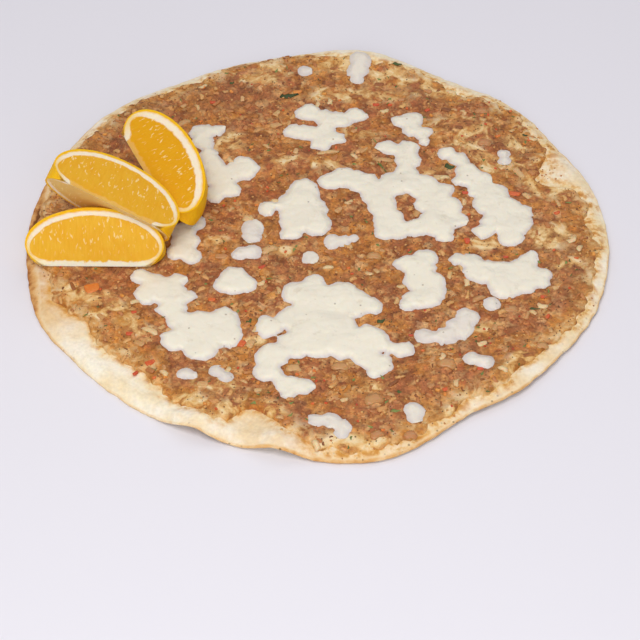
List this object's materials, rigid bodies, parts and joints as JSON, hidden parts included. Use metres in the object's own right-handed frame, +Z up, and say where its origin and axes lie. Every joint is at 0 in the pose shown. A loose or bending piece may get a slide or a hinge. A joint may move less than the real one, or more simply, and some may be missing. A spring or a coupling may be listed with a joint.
{
  "type": "lahmacun",
  "caption": "Round thin flatbread baked with a minced meat and vegetable topping, patches of melted white cheese and fanned lemon wedges.",
  "frame": {"origin": "middle of the flat underside of the flatbread, on the surface that it lies on", "axes": "+Z up out of the topping, -Y towards the front, the lemon wedges lie at -X"},
  "size_m": [0.2698, 0.2745, 0.0468],
  "materials": {
    "dough": "thin baked wheat dough, floury and dry, browned in spots",
    "mince": "baked minced meat with diced pepper, onion and herbs, slightly greasy",
    "cheese": "melted white cheese, soft satin",
    "lemon": "waxy yellow peel, white pith and wet yellow flesh"
  },
  "bodies": {
    "root": {"flatbread": "dough", "minced_topping": "mince", "cheese_patch_01": "cheese", "cheese_patch_02": "cheese", "cheese_patch_03": "cheese", "cheese_patch_04": "cheese", "cheese_patch_05": "cheese", "cheese_patch_06": "cheese", "cheese_patch_07": "cheese", "cheese_patch_08": "cheese", "cheese_patch_09": "cheese", "cheese_patch_10": "cheese", "cheese_patch_11": "cheese", "cheese_patch_12": "cheese", "cheese_patch_13": "cheese", "cheese_patch_14": "cheese", "cheese_patch_15": "cheese", "cheese_patch_16": "cheese", "cheese_patch_17": "cheese", "cheese_patch_18": "cheese", "cheese_patch_19": "cheese", "cheese_patch_20": "cheese", "cheese_patch_21": "cheese", "cheese_patch_22": "cheese", "cheese_patch_23": "cheese", "cheese_patch_24": "cheese", "cheese_patch_25": "cheese", "cheese_patch_26": "cheese", "lemon_wedge_front": "lemon", "lemon_wedge_middle": "lemon", "lemon_wedge_back": "lemon"}
  },
  "joints": []
}
